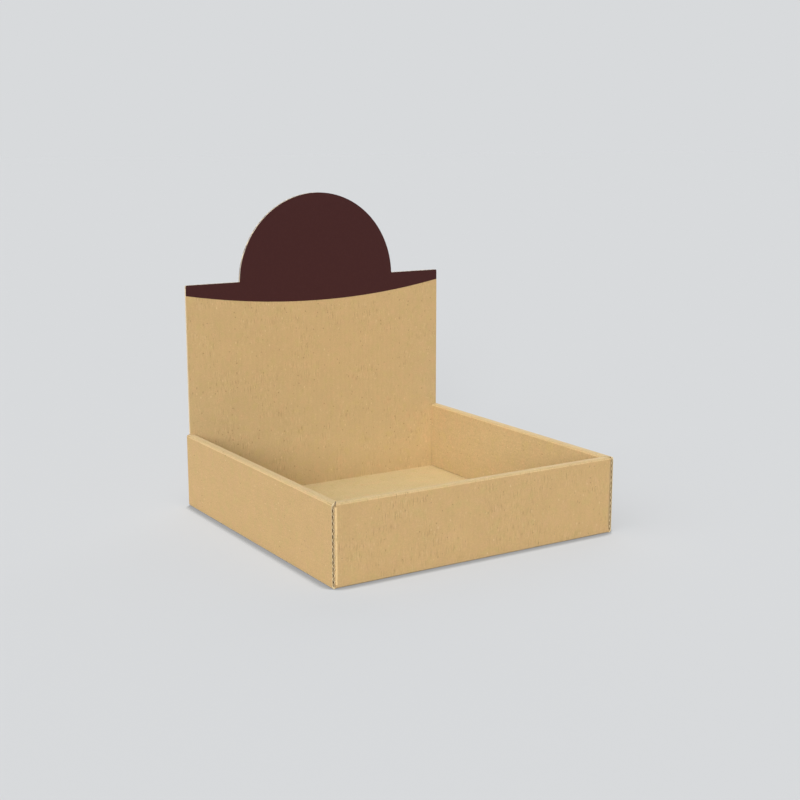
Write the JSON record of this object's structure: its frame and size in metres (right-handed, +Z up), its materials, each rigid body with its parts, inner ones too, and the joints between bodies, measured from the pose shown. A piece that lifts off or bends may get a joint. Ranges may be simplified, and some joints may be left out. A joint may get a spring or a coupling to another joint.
{
  "type": "corrugated counter display box",
  "caption": "Open corrugated display tray with rolled double walls and a tall back panel that ends in a half-round dome.",
  "frame": {"origin": "middle of the tray's footprint, at its underside", "axes": "+Z up, -Y towards the open front wall, +Y towards the header, +X to the right as seen from the front"},
  "size_m": [0.184, 0.182, 0.1893],
  "materials": {
    "kraft_board": "uncoated kraft liner, matt, with a brown printed field on the front of the header"
  },
  "bodies": {
    "root": {"display_tray": "kraft_board"}
  },
  "joints": []
}
